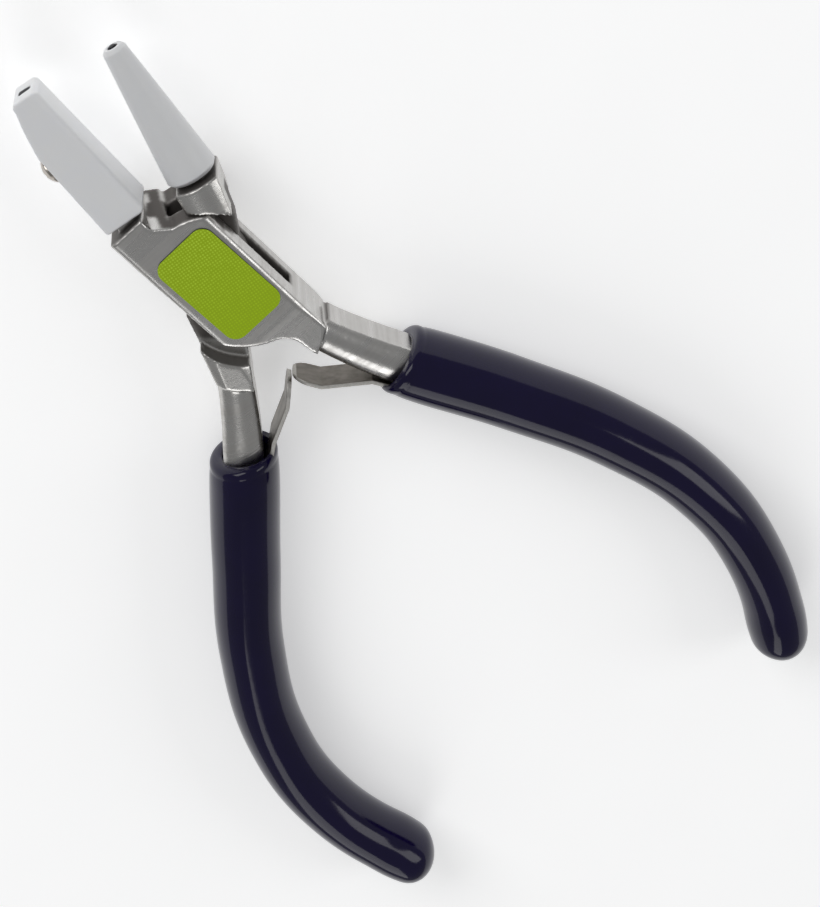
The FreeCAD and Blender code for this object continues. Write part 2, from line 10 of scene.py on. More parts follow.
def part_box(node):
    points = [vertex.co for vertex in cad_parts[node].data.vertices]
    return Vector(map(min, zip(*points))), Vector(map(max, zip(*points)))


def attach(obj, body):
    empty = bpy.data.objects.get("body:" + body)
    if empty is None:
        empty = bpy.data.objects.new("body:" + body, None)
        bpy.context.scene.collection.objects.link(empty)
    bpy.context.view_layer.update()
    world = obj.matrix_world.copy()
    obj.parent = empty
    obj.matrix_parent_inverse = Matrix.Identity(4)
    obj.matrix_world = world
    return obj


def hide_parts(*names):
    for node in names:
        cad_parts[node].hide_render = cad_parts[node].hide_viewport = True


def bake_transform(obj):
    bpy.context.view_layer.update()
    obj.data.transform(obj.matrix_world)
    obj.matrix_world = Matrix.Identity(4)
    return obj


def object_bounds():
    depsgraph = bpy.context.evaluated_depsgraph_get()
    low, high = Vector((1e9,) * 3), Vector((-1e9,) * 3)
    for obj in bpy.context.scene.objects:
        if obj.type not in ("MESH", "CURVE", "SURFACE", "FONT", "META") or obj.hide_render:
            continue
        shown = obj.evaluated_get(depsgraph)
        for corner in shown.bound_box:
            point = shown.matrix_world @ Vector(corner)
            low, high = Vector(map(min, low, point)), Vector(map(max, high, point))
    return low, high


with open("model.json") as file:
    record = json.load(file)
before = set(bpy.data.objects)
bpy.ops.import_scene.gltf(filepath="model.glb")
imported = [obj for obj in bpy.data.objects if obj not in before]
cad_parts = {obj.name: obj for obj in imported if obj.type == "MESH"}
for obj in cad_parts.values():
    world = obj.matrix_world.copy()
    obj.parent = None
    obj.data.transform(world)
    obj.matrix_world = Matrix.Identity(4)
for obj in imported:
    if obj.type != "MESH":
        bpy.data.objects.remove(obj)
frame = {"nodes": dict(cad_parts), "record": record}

cad_low, cad_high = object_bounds()

# --- Box half -------------------------------------------------------------------------------
# The forged half with the flat jaw's blade, the slotted box and the right handle. It is carbon
# steel, belt-ground across its length, so fine strokes run over it, while the slot, the throat
# and the shoulder at the jaw carry painted shade and a rougher finish.
MM = 0.001
HALF_SPREAD = math.radians(9.5)
MID_Z = frame["record"]["behaviour"]["joints"][0]["pos_m"][2]
STEEL_VOXEL = 0.23 * MM
STEEL_SOFTENING = 3
SHOULDER_Y = 12.1 * MM
SLOT_HALF = 1.75 * MM
JOINT_REACH = 11.5 * MM
SNAP = 0.06 * MM            # nearer than this, a point goes back to the true face
JAW_END = 32.3 * MM         # the blade and the spike end past here
END_PROUD = 0.1 * MM        # softening takes this much off an end
JAW_END_MARK = 2.0          # a shade mark above 1 paints the blade's and the spike's ends black
MARK_NEAR = 0.3 * MM        # how near a face lies to its plane to count as that face
THROAT_REACH = 13 * MM
HEEL_FROM, HEEL_TO = -19 * MM, -8 * MM


def softened(name, node, voxel, rounds):
    """A CAD piece's own shape, with the small rounded edges that tumbling leaves."""
    mesh = frame["nodes"][node].data.copy()
    work = bmesh.new()
    work.from_mesh(mesh)
    bmesh.ops.remove_doubles(work, verts=work.verts, dist=0.002 * MM)
    work.to_mesh(mesh)
    work.free()
    mesh.materials.clear()
    piece = bpy.data.objects.new(name, mesh)
    bpy.context.scene.collection.objects.link(piece)
    skin = piece.modifiers.new("skin", "REMESH")
    skin.mode = "VOXEL"
    skin.voxel_size = voxel
    skin.use_smooth_shade = True
    tumble = piece.modifiers.new("tumble", "SMOOTH")
    tumble.factor = 0.5
    tumble.iterations = rounds
    graph = bpy.context.evaluated_depsgraph_get()
    made = bpy.data.meshes.new_from_object(piece.evaluated_get(graph))
    piece.modifiers.clear()
    piece.data = made
    made.name = name
    true_face = BVHTree.FromPolygons([v.co for v in mesh.vertices], [p.vertices for p in mesh.polygons])
    for v in made.vertices:
        nearest, _, _, gap = true_face.find_nearest(v.co)
        pull = max(0.0, 1.0 - gap / SNAP)
        v.co = v.co.lerp(nearest, min(1.0, 2.0 * pull))
    made.update()
    return piece


def spread_out(work, values, rounds):
    """Evens a value out over each vertex and its neighbours."""
    for _ in range(rounds):
        values = [(values[v.index] + sum(values[e.other_vert(v).index] for e in v.link_edges))
                  / (1 + len(v.link_edges)) for v in work.verts]
    return values


def mark(piece, name, rule, rounds=2):
    """Stores a value for each vertex, worked out from its place and outward direction."""
    work = bmesh.new()
    work.from_mesh(piece.data)
    work.verts.ensure_lookup_table()
    values = spread_out(work, [rule(v) for v in work.verts], rounds)
    work.free()
    layer = piece.data.attributes.new(name, "FLOAT", "POINT")
    layer.data.foreach_set("value", values)


def outside_corner(v):
    """Positive on outside corners, in parts of the mesh's own spacing."""
    around = [e.other_vert(v).co for e in v.link_edges]
    centre = sum(around, Vector()) / len(around)
    span = sum((p - v.co).length for p in around) / len(around)
    return max(0.0, min(1.0, 4.0 * (v.co - centre).dot(v.normal) / span))


def shade_marks(turn):
    """Painted shade mark: 1 in the slot, the throat and on the shoulder under the jaw of a half turned by
    an angle.
    """
    back = Matrix.Rotation(-turn, 3, "Z")

    def rule(v):
        place = back @ Vector((v.co.x, v.co.y, 0.0))
        outward = back @ v.normal
        reach = place.length
        if abs(v.co.z - MID_Z) < SLOT_HALF and reach < JOINT_REACH:
            return 1.0
        if place.y > 3 * MM and reach < THROAT_REACH and outward.dot(place.normalized()) > 0.75:
            return 1.0
        if place.y > JAW_END:
            return JAW_END_MARK
        if abs(place.y - SHOULDER_Y) < MARK_NEAR and outward.y > 0.7:
            return 1.0
        if HEEL_FROM < place.y < HEEL_TO and outward.y > 0.45:
            return 0.8
        return 0.0
    return rule


def add(tree, kind, settings=None, **values):
    """One node with its settings and unlinked sockets."""
    made = tree.nodes.new(kind)
    for key, value in (settings or {}).items():
        setattr(made, key, value)
    for key, value in values.items():
        made.inputs[key.replace("_", " ")].default_value = value
    return made


def group(name, inputs, outputs):
    """An empty shader group with its sockets, and its input and output nodes."""
    tree = bpy.data.node_groups.new(name, "ShaderNodeTree")
    for label, kind, value in inputs:
        socket = tree.interface.new_socket(label, in_out="INPUT", socket_type=kind)
        if value is not None:
            socket.default_value = value
    for label, kind in outputs:
        tree.interface.new_socket(label, in_out="OUTPUT", socket_type=kind)
    return tree, tree.nodes.new("NodeGroupInput"), tree.nodes.new("NodeGroupOutput")


def belt_strokes():
    """Fine strokes across a piece, and the slower change of tone between passes."""
    tree, given, out = group("belt_strokes",
                             [("Vector", "NodeSocketVector", None), ("Lines", "NodeSocketFloat", 9000.0),
                              ("Run", "NodeSocketFloat", 350.0)],
                             [("Height", "NodeSocketFloat"), ("Tone", "NodeSocketFloat")])
    link = tree.links.new
    size = add(tree, "ShaderNodeCombineXYZ")
    link(given.outputs["Run"], size.inputs["X"])
    link(given.outputs["Lines"], size.inputs["Y"])
    link(given.outputs["Run"], size.inputs["Z"])
    fine = add(tree, "ShaderNodeVectorMath", {"operation": "MULTIPLY"})
    link(given.outputs["Vector"], fine.inputs[0])
    link(size.outputs["Vector"], fine.inputs[1])
    strokes = add(tree, "ShaderNodeTexNoise", Scale=1.0, Detail=5.0, Roughness=0.65)
    link(fine.outputs["Vector"], strokes.inputs["Vector"])
    slow = add(tree, "ShaderNodeVectorMath", {"operation": "SCALE"}, Scale=0.13)
    link(fine.outputs["Vector"], slow.inputs[0])
    passes = add(tree, "ShaderNodeTexNoise", Scale=1.0, Detail=3.0, Roughness=0.5)
    link(slow.outputs["Vector"], passes.inputs["Vector"])
    link(strokes.outputs["Fac"], out.inputs["Height"])
    link(passes.outputs["Fac"], out.inputs["Tone"])
    return tree


def painted_edge_highlights():
    """Painted highlights on outside corners, broken up by noise."""
    tree, given, out = group("painted_edge_highlights",
                             [("Corner", "NodeSocketFloat", 0.0), ("Vector", "NodeSocketVector", None),
                              ("Grain", "NodeSocketFloat", 2500.0), ("Amount", "NodeSocketFloat", 1.0)],
                             [("Mask", "NodeSocketFloat")])
    link = tree.links.new
    speck = add(tree, "ShaderNodeTexNoise", Detail=4.0, Roughness=0.6)
    link(given.outputs["Vector"], speck.inputs["Vector"])
    link(given.outputs["Grain"], speck.inputs["Scale"])
    uneven = add(tree, "ShaderNodeMapRange", From_Min=0.3, From_Max=0.7, To_Min=0.35, To_Max=1.0)
    link(speck.outputs["Fac"], uneven.inputs["Value"])
    both = add(tree, "ShaderNodeMath", {"operation": "MULTIPLY"})
    link(given.outputs["Corner"], both.inputs[0])
    link(uneven.outputs["Result"], both.inputs[1])
    scaled = add(tree, "ShaderNodeMath", {"operation": "MULTIPLY", "use_clamp": True})
    link(both.outputs["Value"], scaled.inputs[0])
    link(given.outputs["Amount"], scaled.inputs[1])
    link(scaled.outputs["Value"], out.inputs["Mask"])
    return tree


STROKES = belt_strokes()
EDGE_HIGHLIGHT = painted_edge_highlights()


def material(name):
    """A material with its shader, its tree, and the object's own coordinates."""
    made = bpy.data.materials.new(name)
    made.use_nodes = True
    tree = made.node_tree
    shader = tree.nodes["Principled BSDF"]
    place = add(tree, "ShaderNodeTexCoord").outputs["Object"]
    return made, tree, shader, place


def blend_colour(tree, mask, low, high):
    """Mixes two colours, each a colour or a socket, by a mask."""
    mix = add(tree, "ShaderNodeMix", {"data_type": "RGBA"})
    tree.links.new(mask, mix.inputs["Factor"])
    for socket, value in ((mix.inputs[6], low), (mix.inputs[7], high)):
        if isinstance(value, bpy.types.NodeSocket):
            tree.links.new(value, socket)
        else:
            socket.default_value = (*value, 1.0)
    return mix.outputs[2]


def blend_value(tree, mask, low, high):
    """Mixes two numbers, each a number or a socket, by a mask."""
    mix = add(tree, "ShaderNodeMix", {"data_type": "FLOAT"})
    tree.links.new(mask, mix.inputs["Factor"])
    for socket, value in ((mix.inputs[2], low), (mix.inputs[3], high)):
        if isinstance(value, bpy.types.NodeSocket):
            tree.links.new(value, socket)
        else:
            socket.default_value = value
    return mix.outputs[0]


def ground_steel(name, light, dark, lines, rough, turn):
    """Belt-ground steel, with painted shade and a rougher finish in the slot, throat, shoulder and heel,
    and painted highlights on outside corners.
    """
    made, tree, shader, place = material(name)
    link = tree.links.new
    along = add(tree, "ShaderNodeMapping", Rotation=(0.0, 0.0, -turn))
    link(place, along.inputs["Vector"])
    strokes = add(tree, "ShaderNodeGroup", {"node_tree": STROKES}, Lines=lines, Run=320.0)
    link(along.outputs["Vector"], strokes.inputs["Vector"])
    corner = add(tree, "ShaderNodeAttribute", {"attribute_name": "corner"}).outputs["Fac"]
    shade_mark = add(tree, "ShaderNodeAttribute", {"attribute_name": "shade_mark"}).outputs["Fac"]
    edge_highlight = add(tree, "ShaderNodeGroup", {"node_tree": EDGE_HIGHLIGHT}, Grain=2500.0, Amount=0.4)
    link(corner, edge_highlight.inputs["Corner"])
    link(place, edge_highlight.inputs["Vector"])
    clouds = add(tree, "ShaderNodeTexNoise", Scale=190.0, Detail=4.0, Roughness=0.55)
    link(place, clouds.inputs["Vector"])
    tone = add(tree, "ShaderNodeMapRange", From_Min=0.32, From_Max=0.68)
    link(strokes.outputs["Tone"], tone.inputs["Value"])
    ground = blend_colour(tree, tone.outputs["Result"], dark, light)
    clouded = blend_colour(tree, clouds.outputs["Fac"], ground, light)
    # painted shade: the slot, the throat, the shoulder under the jaw and the heel are coloured dark where
    # they lie in shade, and below they get a rougher, pitted finish
    painted_shade = blend_colour(tree, shade_mark, clouded, (0.115, 0.105, 0.098))
    # painted highlight: outside corners are coloured lighter and given a smoother finish
    edge_lit = blend_colour(tree, edge_highlight.outputs["Mask"], painted_shade, (0.78, 0.77, 0.75))
    # the ends of the blade and the spike, marked above 1, are painted black
    black_end = add(tree, "ShaderNodeMapRange", From_Min=1.2, From_Max=1.6)
    link(shade_mark, black_end.inputs["Value"])
    finished = blend_colour(tree, black_end.outputs["Result"], edge_lit, (0.012, 0.012, 0.016))
    link(finished, shader.inputs["Base Color"])
    link(blend_value(tree, shade_mark, 1.0, 0.75), shader.inputs["Metallic"])
    worked = blend_value(tree, tone.outputs["Result"], rough + 0.08, rough - 0.04)
    coarse = blend_value(tree, shade_mark, worked, 0.5)
    link(blend_value(tree, edge_highlight.outputs["Mask"], coarse, 0.2), shader.inputs["Roughness"])
    pits = add(tree, "ShaderNodeTexNoise", Scale=5200.0, Detail=3.0, Roughness=0.7)
    link(place, pits.inputs["Vector"])
    relief = blend_value(tree, shade_mark, strokes.outputs["Height"], pits.outputs["Fac"])
    bump = add(tree, "ShaderNodeBump", Strength=0.55, Distance=0.012 * MM)
    link(relief, bump.inputs["Height"])
    link(bump.outputs["Normal"], shader.inputs["Normal"])
    return made


steel_right = ground_steel("satin_steel_right", light=(0.60, 0.59, 0.575), dark=(0.43, 0.415, 0.395),
                           lines=9000.0, rough=0.27, turn=HALF_SPREAD)
box = softened("box_half_steel", "box_half", STEEL_VOXEL, STEEL_SOFTENING)
mark(box, "corner", outside_corner)
mark(box, "shade_mark", shade_marks(HALF_SPREAD))
box.data.materials.append(steel_right)
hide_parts("box_half")
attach(box, "box_half")

# --- Tongue half ----------------------------------------------------------------------------
# The second forged half: the spike of the conical jaw, a thin waist that turns in the box's slot,
# and the left handle. It is the same ground steel, with painted shade on the waist's faces.
steel_left = ground_steel("satin_steel_left", light=(0.62, 0.61, 0.59), dark=(0.44, 0.42, 0.395),
                          lines=8600.0, rough=0.27, turn=-HALF_SPREAD)


def ends_proud(piece, turn):
    """Brings the end of the spike level with its nylon cover again."""
    back = Matrix.Rotation(-turn, 3, "Z")
    for v in piece.data.vertices:
        if (back @ v.co).y > JAW_END and (back @ v.normal).y > 0.7:
            v.co += v.normal * END_PROUD
    piece.data.update()


tongue = softened("tongue_half_steel", "tongue_half", STEEL_VOXEL, STEEL_SOFTENING)
mark(tongue, "corner", outside_corner)
mark(tongue, "shade_mark", shade_marks(-HALF_SPREAD))
ends_proud(tongue, -HALF_SPREAD)
tongue.data.materials.append(steel_left)
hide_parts("tongue_half")
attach(tongue, "tongue_half")

# --- Pivot rivet ----------------------------------------------------------------------------
# A steel rivet, set in countersinks and ground flush with both cheeks, so that only a thin ring
# and its turned face show at the back. The label covers its front end.


def turned_steel(name, light, dark, rough, rings):
    """Bright steel with rings from the lathe about the upright axis."""
    made, tree, shader, place = material(name)
    link = tree.links.new
    flat = add(tree, "ShaderNodeVectorMath", {"operation": "MULTIPLY"})
    flat.inputs[1].default_value = (1.0, 1.0, 0.0)
    link(place, flat.inputs[0])
    reach = add(tree, "ShaderNodeVectorMath", {"operation": "LENGTH"})
    link(flat.outputs["Vector"], reach.inputs[0])
    cuts = add(tree, "ShaderNodeTexNoise", {"noise_dimensions": "1D"}, Scale=rings, Detail=3.0)
    link(reach.outputs["Value"], cuts.inputs["W"])
    clouds = add(tree, "ShaderNodeTexNoise", Scale=900.0, Detail=3.0)
    link(place, clouds.inputs["Vector"])
    link(blend_colour(tree, clouds.outputs["Fac"], dark, light), shader.inputs["Base Color"])
    shader.inputs["Metallic"].default_value = 1.0
    link(blend_value(tree, cuts.outputs["Fac"], rough - 0.06, rough + 0.08), shader.inputs["Roughness"])
    bump = add(tree, "ShaderNodeBump", Strength=0.4, Distance=0.01 * MM)
    link(cuts.outputs["Fac"], bump.inputs["Height"])
    link(bump.outputs["Normal"], shader.inputs["Normal"])
    return made


rivet_steel = turned_steel("rivet_steel", (0.68, 0.67, 0.66), (0.5, 0.48, 0.46), 0.3, 9000.0)


def finish_cad(node, coat):
    """Gives a CAD piece that stays as it is its material."""
    slots = frame["nodes"][node].material_slots
    for slot in slots:
        slot.link = "OBJECT"
        slot.material = coat


finish_cad("pivot_rivet", rivet_steel)

# --- Flat jaw boot --------------------------------------------------------------------------
# A machined block of milky nylon, slid over the blade and held by the screw. Its gripping face
# has softly rounded long edges, and the cutter has left faint lines along it.
NYLON_VOXEL = 0.14 * MM
BOOT_SOFTENING = 14


def nylon(name, tint, warm, turn):
    """Milky nylon: slightly see-through, with faint tool lines and painted highlights on outside corners.
    """
    made, tree, shader, place = material(name)
    link = tree.links.new
    along = add(tree, "ShaderNodeMapping", Rotation=(0.0, 0.0, -turn))
    link(place, along.inputs["Vector"])
    lines = add(tree, "ShaderNodeGroup", {"node_tree": STROKES}, Lines=1400.0, Run=5200.0)
    link(along.outputs["Vector"], lines.inputs["Vector"])
    clouds = add(tree, "ShaderNodeTexNoise", Scale=210.0, Detail=5.0, Roughness=0.6)
    link(place, clouds.inputs["Vector"])
    milky = blend_colour(tree, clouds.outputs["Fac"], tint, warm)
    corner = add(tree, "ShaderNodeAttribute", {"attribute_name": "corner"}).outputs["Fac"]
    edge_highlight = add(tree, "ShaderNodeGroup", {"node_tree": EDGE_HIGHLIGHT}, Grain=1800.0, Amount=0.7)
    link(corner, edge_highlight.inputs["Corner"])
    link(place, edge_highlight.inputs["Vector"])
    # painted highlight: the nylon's outside corners are coloured near white
    link(blend_colour(tree, edge_highlight.outputs["Mask"], milky, (0.93, 0.94, 0.97)), shader.inputs["Base Color"])
    link(blend_value(tree, lines.outputs["Tone"], 0.38, 0.5), shader.inputs["Roughness"])
    shader.inputs["Subsurface Weight"].default_value = 0.25
    shader.inputs["Subsurface Radius"].default_value = (1.0, 0.95, 0.9)
    shader.inputs["Subsurface Scale"].default_value = 0.5 * MM
    bump = add(tree, "ShaderNodeBump", Strength=0.35, Distance=0.01 * MM)
    link(lines.outputs["Height"], bump.inputs["Height"])
    link(bump.outputs["Normal"], shader.inputs["Normal"])
    return made


boot = softened("flat_jaw_boot_nylon", "flat_jaw_boot", NYLON_VOXEL, BOOT_SOFTENING)
mark(boot, "corner", outside_corner, rounds=3)
boot.data.materials.append(nylon("nylon_flat", (0.80, 0.81, 0.84), (0.84, 0.84, 0.83), HALF_SPREAD))
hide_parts("flat_jaw_boot")
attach(boot, "box_half")

# --- Conical jaw sleeve ---------------------------------------------------------------------
# A waisted cone turned from the same nylon and pressed on the round spike, whose dark end shows
# in the sleeve's flat tip.
sleeve = softened("cone_jaw_sleeve_nylon", "cone_jaw_sleeve", NYLON_VOXEL, 3)
mark(sleeve, "corner", outside_corner, rounds=3)
# painted shade: the cone's nylon is given a darker tint than the boot's, though it is the same nylon
sleeve.data.materials.append(nylon("nylon_cone_shaded", (0.72, 0.73, 0.75), (0.76, 0.76, 0.755), -HALF_SPREAD))
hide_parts("cone_jaw_sleeve")
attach(sleeve, "tongue_half")

# --- Jaw screw ------------------------------------------------------------------------------
# A plated pan-head screw with a crossed recess, driven through the boot into the blade.
plated = turned_steel("plated_screw", (0.58, 0.54, 0.50), (0.40, 0.36, 0.32), 0.22, 4000.0)
screw = softened("jaw_screw_plated", "jaw_screw", 0.06 * MM, 2)
screw.data.materials.append(plated)
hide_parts("jaw_screw")
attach(screw, "box_half")

# --- Label ----------------------------------------------------------------------------------
# A thin lime-green film stuck on the front cheek over the rivet, left blank. Its print is a fine
# screen of dots. Painted shade darkens it towards its low-y end and on its sideways edge.
DOT_PITCH = 0.42 * MM


def label_film():
    made, tree, shader, place = material("label_film")
    link = tree.links.new
    low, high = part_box("label_plate")
    across = add(tree, "ShaderNodeSeparateXYZ")
    link(place, across.inputs["Vector"])
    # painted shade: the film's green is darker towards its low-y end
    fade = add(tree, "ShaderNodeMapRange", From_Min=low[1], From_Max=high[1])
    link(across.outputs["Y"], fade.inputs["Value"])
    shaded_green = blend_colour(tree, fade.outputs["Result"], (0.40, 0.60, 0.005), (0.54, 0.76, 0.055))
    dots = add(tree, "ShaderNodeTexVoronoi", {"feature": "F1"}, Scale=1 / DOT_PITCH, Randomness=0.12)
    link(place, dots.inputs["Vector"])
    screen = add(tree, "ShaderNodeMapRange", From_Min=0.25, From_Max=0.5)
    link(dots.outputs["Distance"], screen.inputs["Value"])
    printed = blend_colour(tree, screen.outputs["Result"], shaded_green, (0.34, 0.50, 0.010))
    # painted shade: faces of the film that do not face up are coloured near black
    facing = add(tree, "ShaderNodeSeparateXYZ")
    link(add(tree, "ShaderNodeNewGeometry").outputs["True Normal"], facing.inputs["Vector"])
    rim = add(tree, "ShaderNodeMapRange", From_Min=0.5, From_Max=0.95, To_Min=1.0, To_Max=0.0)
    link(facing.outputs["Z"], rim.inputs["Value"])
    edged = blend_colour(tree, rim.outputs["Result"], printed, (0.02, 0.03, 0.005))
    link(edged, shader.inputs["Base Color"])
    worn = add(tree, "ShaderNodeTexNoise", Scale=420.0, Detail=5.0)
    link(place, worn.inputs["Vector"])
    link(blend_value(tree, worn.outputs["Fac"], 0.42, 0.58), shader.inputs["Roughness"])
    shader.inputs["Specular IOR Level"].default_value = 0.18
    bump = add(tree, "ShaderNodeBump", Strength=0.25, Distance=0.01 * MM)
    link(screen.outputs["Result"], bump.inputs["Height"])
    link(bump.outputs["Normal"], shader.inputs["Normal"])
    return made


finish_cad("label_plate", label_film())

# --- Leaf springs ---------------------------------------------------------------------------
# Two bent strips of rolled spring steel. Each is fixed inside a handle, leaves its grip on the
# inner side and rests with its rounded tip on the other's. The sheared edges are bright and rough.
LEAF_VOXEL = 0.1 * MM
LEAF_TIP_BAND = 0.35 * MM


def rolled_steel():
    made, tree, shader, place = material("spring_steel")
    link = tree.links.new
    strokes = add(tree, "ShaderNodeGroup", {"node_tree": STROKES}, Lines=500.0, Run=5200.0)
    link(place, strokes.inputs["Vector"])
    tone = add(tree, "ShaderNodeMapRange", From_Min=0.35, From_Max=0.65)
    link(strokes.outputs["Tone"], tone.inputs["Value"])
    rolled = blend_colour(tree, tone.outputs["Result"], (0.17, 0.155, 0.135), (0.26, 0.24, 0.215))
    sheared = add(tree, "ShaderNodeAttribute", {"attribute_name": "sheared"}).outputs["Fac"]
    torn = add(tree, "ShaderNodeTexNoise", Scale=3800.0, Detail=4.0, Roughness=0.7)
    link(place, torn.inputs["Vector"])
    bright = blend_colour(tree, torn.outputs["Fac"], (0.34, 0.32, 0.29), (0.80, 0.79, 0.76))
    link(blend_colour(tree, sheared, rolled, bright), shader.inputs["Base Color"])
    shader.inputs["Metallic"].default_value = 1.0
    link(blend_value(tree, sheared, 0.36, 0.46), shader.inputs["Roughness"])
    relief = blend_value(tree, sheared, strokes.outputs["Height"], torn.outputs["Fac"])
    bump = add(tree, "ShaderNodeBump", Strength=0.6, Distance=0.015 * MM)
    link(relief, bump.inputs["Height"])
    link(bump.outputs["Normal"], shader.inputs["Normal"])
    return made


def sheared_edge(tip_y):
    """1 on the strip's two long edges and round its tip."""
    def rule(v):
        if abs(v.normal.z) > 0.55 or v.co.y > tip_y - LEAF_TIP_BAND:
            return 1.0
        return 0.0
    return rule


spring_steel = rolled_steel()
for side, own_body, other_body in (("right", "box_half", "tongue_half"),
                                   ("left", "tongue_half", "box_half")):
    node = side + "_leaf_spring"
    low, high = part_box(node)
    leaf = softened(node + "_strip", node, LEAF_VOXEL, 2)
    mark(leaf, "sheared", sheared_edge(high[1]), rounds=1)
    leaf.data.materials.append(spring_steel)
    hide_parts(node)
    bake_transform(leaf)

# --- Spring rivets --------------------------------------------------------------------------
# A small steel rivet inside each grip holds the fixed end of its leaf against the handle bar.
finish_cad("right_spring_rivet", rivet_steel)
finish_cad("left_spring_rivet", rivet_steel)

# --- Grips ----------------------------------------------------------------------------------
# Each handle is dipped in soft navy vinyl. The dip leaves a glossy skin, a thick rolled rim round
# the open mouth, a fold just behind it and a rounded blind end. The spring comes out of the mouth
# on the inner side of the bar.
GRIP_START = 12.3
GRIP_LINE = [(15.75, -44.6), (21.8, -59.3), (24.9, -74.9), (23.2, -89.0)]
GRIP_END = {"right": (17.1, -102.6), "left": (15.6, -103.7)}
SHANKS = {"right": [(3.7, -17.5), (7.1, -26.9)], "left": [(4.5, -17.2), (7.8, -26.6)]}
MOUTH_PROFILE = [(4.6, 0.0), (4.4, 2.3), (3.4, 3.15), (1.6, 3.4), (0.6, 3.48), (0.15, 3.66), (0.0, 3.95),
                 (0.05, 4.3), (0.22, 4.62), (0.6, 4.84), (1.1, 4.90), (1.6, 4.88), (2.1, 4.93),
                 (3.0, 5.0), (4.6, 5.05), (9.0, 5.07)]
BODY_PROFILE = [(0.35, 5.06), (0.6, 5.0), (0.8, 4.91), (0.92, 4.93)]
MOUTH_SHIFT = 0.55
END_ROUND = 4.5
END_RADIUS = 4.95
END_ANGLES = (0, 20, 38, 54, 68, 80, 90)
PAST_END = 5.0              # the centre line runs on this far
END_TRIM = 1.4              # keeps the rounded end inside the grip's own length
GRIP_HALF_WIDTH, GRIP_HALF_THICK = 5.1, 6.7


def handle_spine(side):
    """The centre line of a handle with the pliers open, and a little past the grip's end."""
    points = SHANKS[side] + GRIP_LINE + [GRIP_END[side]]
    before, last = Vector(points[-2]), Vector(points[-1])
    points = points + [tuple(last + (last - before).normalized() * PAST_END + Vector((-0.9, 0.2)))]
    mirror = 1 if side == "right" else -1
    turn = Matrix.Rotation(HALF_SPREAD * mirror, 3, "Z")
    return [turn @ Vector((x * mirror * MM, y * MM, 0.0)) + Vector((0.0, 0.0, MID_Z)) for x, y in points]


def smooth_spline(curve, points):
    spline = curve.splines.new("BEZIER")
    spline.bezier_points.add(len(points) - 1)
    for knot, place in zip(spline.bezier_points, points):
        knot.co = place
        knot.handle_left_type = "AUTO"
        knot.handle_right_type = "AUTO"
    return spline


